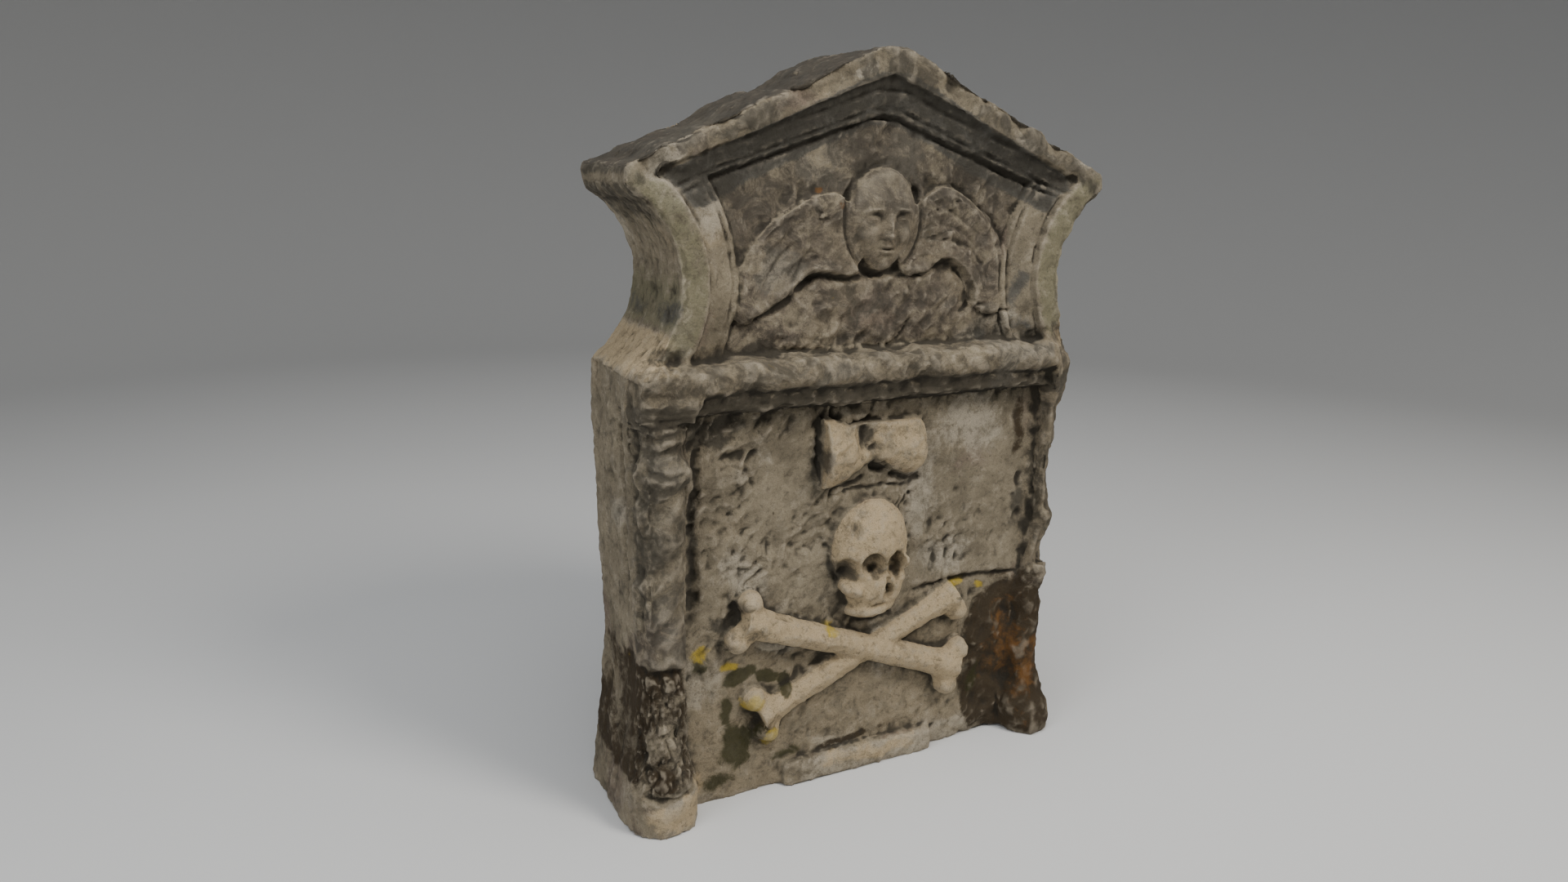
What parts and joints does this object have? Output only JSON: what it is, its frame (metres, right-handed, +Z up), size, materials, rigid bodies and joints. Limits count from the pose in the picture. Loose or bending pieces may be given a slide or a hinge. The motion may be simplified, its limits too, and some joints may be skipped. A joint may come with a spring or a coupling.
{
  "type": "gravestone",
  "caption": "Gabled stone headstone with coved shoulders, winged head, hourglass, skull and crossed bones in relief, corner columns, and one corner broken away.",
  "frame": {"origin": "middle of the footprint, on the flat underside at ground level", "axes": "+Z up, -Y out of the carved front, +X to the right of someone facing the carved front"},
  "size_m": [0.752, 0.2147, 1.06],
  "materials": {
    "sandstone": "rough, weathered"
  },
  "bodies": {
    "root": {"headstone": "sandstone"}
  },
  "joints": []
}
